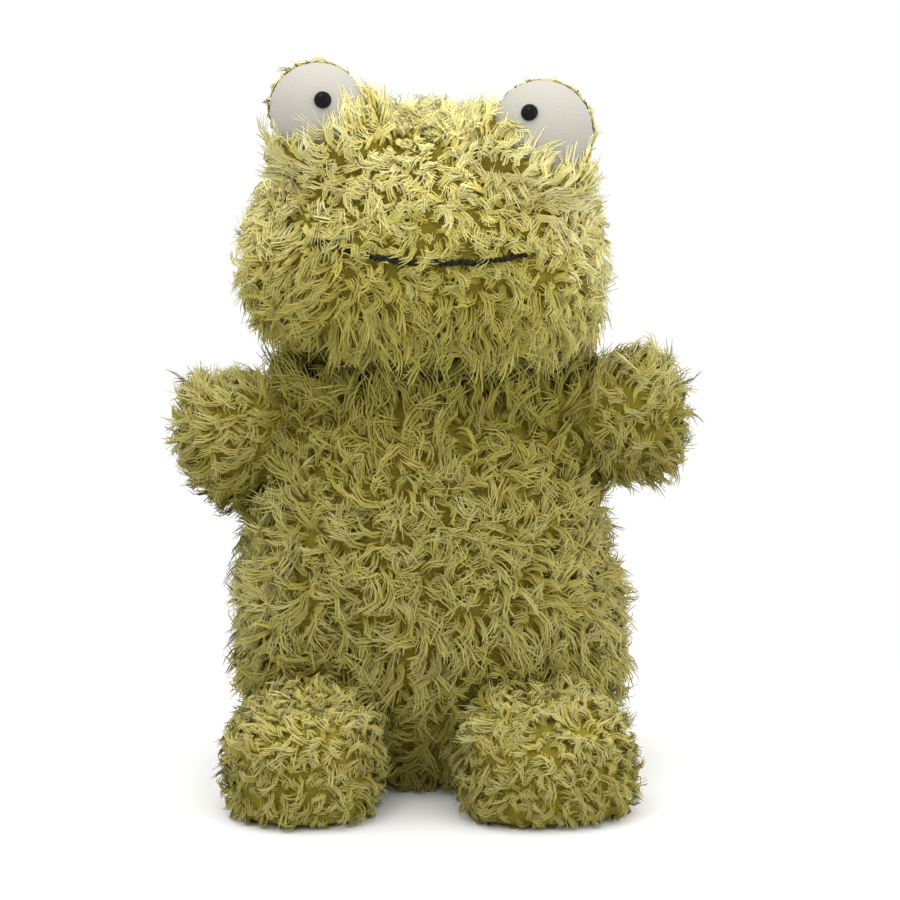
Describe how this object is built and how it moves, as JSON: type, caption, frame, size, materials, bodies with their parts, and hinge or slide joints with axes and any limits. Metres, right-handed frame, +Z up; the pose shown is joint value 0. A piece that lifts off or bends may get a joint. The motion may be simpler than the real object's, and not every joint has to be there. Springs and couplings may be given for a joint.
{
  "type": "plush frog",
  "caption": "Seated plush frog of shaggy green pile fabric over stuffing, with bulging white eyes, a stitched mouth and soft limbs that bend at their seams.",
  "frame": {"origin": "centre of the frog's width and depth, on the surface that it sits on", "axes": "+X to the frog's left, +Y to its back, +Z up; it looks along -Y"},
  "size_m": [0.1915, 0.1551, 0.2659],
  "materials": {
    "shaggy_fur": "shaggy pile, matte",
    "sole_fur": "short pile, matte",
    "eye_plush": "short smooth plush, matte",
    "stuffing": "loose polyester fibre",
    "mouth_thread": "twisted yarn",
    "black_plastic": "glossy",
    "clear_plastic": "moulded"
  },
  "bodies": {
    "body": {"body_front_skin": "shaggy_fur", "body_back_skin": "shaggy_fur", "body_filling": "stuffing"},
    "neck": {"neck_filling": "stuffing"},
    "head": {"head_face_skin": "shaggy_fur", "head_back_skin": "shaggy_fur", "head_filling": "stuffing", "mouth_stitch": "mouth_thread", "eye_white_left": "eye_plush", "eye_white_right": "eye_plush", "eye_back_left": "shaggy_fur", "eye_back_right": "shaggy_fur", "eye_filling_left": "stuffing", "eye_filling_right": "stuffing", "pupil_left": "black_plastic", "pupil_right": "black_plastic", "pupil_washer_left": "clear_plastic", "pupil_washer_right": "clear_plastic"},
    "left_arm": {"arm_front_skin_left": "shaggy_fur", "arm_back_skin_left": "shaggy_fur", "arm_filling_left": "stuffing"},
    "right_arm": {"arm_front_skin_right": "shaggy_fur", "arm_back_skin_right": "shaggy_fur", "arm_filling_right": "stuffing"},
    "left_leg": {"leg_upper_skin_left": "shaggy_fur", "leg_sole_left": "sole_fur", "leg_filling_left": "stuffing"},
    "right_leg": {"leg_upper_skin_right": "shaggy_fur", "leg_sole_right": "sole_fur", "leg_filling_right": "stuffing"}
  },
  "joints": [
    {"name": "neck_turn", "type": "hinge", "parent": "body", "child": "neck", "pos_m": [-0.005, 0.0175, 0.1556], "axis": [0, 0, 1], "range_deg": [-15, 15], "stiffness_Nm_per_rad": 0.08},
    {"name": "head_nod", "type": "hinge", "parent": "neck", "child": "head", "pos_m": [-0.005, 0.0175, 0.1556], "axis": [0.9986, 0, -0.0523], "range_deg": [-10, 10], "stiffness_Nm_per_rad": 0.4},
    {"name": "left_arm_raise", "type": "hinge", "parent": "body", "child": "left_arm", "pos_m": [0.055, 0.0095, 0.1312], "axis": [0, -1, 0], "range_deg": [-26, 10], "stiffness_Nm_per_rad": 0.06},
    {"name": "right_arm_raise", "type": "hinge", "parent": "body", "child": "right_arm", "pos_m": [-0.055, 0.0095, 0.1312], "axis": [0, 1, 0], "range_deg": [-2, 30], "stiffness_Nm_per_rad": 0.06},
    {"name": "left_leg_raise", "type": "hinge", "parent": "body", "child": "left_leg", "pos_m": [0.037, -0.0255, 0.026], "axis": [0.9781, 0.2079, 0], "range_deg": [-15, 8], "stiffness_Nm_per_rad": 0.1},
    {"name": "right_leg_raise", "type": "hinge", "parent": "body", "child": "right_leg", "pos_m": [-0.0435, -0.0255, 0.026], "axis": [0.9945, -0.1045, 0], "range_deg": [-15, 8], "stiffness_Nm_per_rad": 0.1}
  ]
}
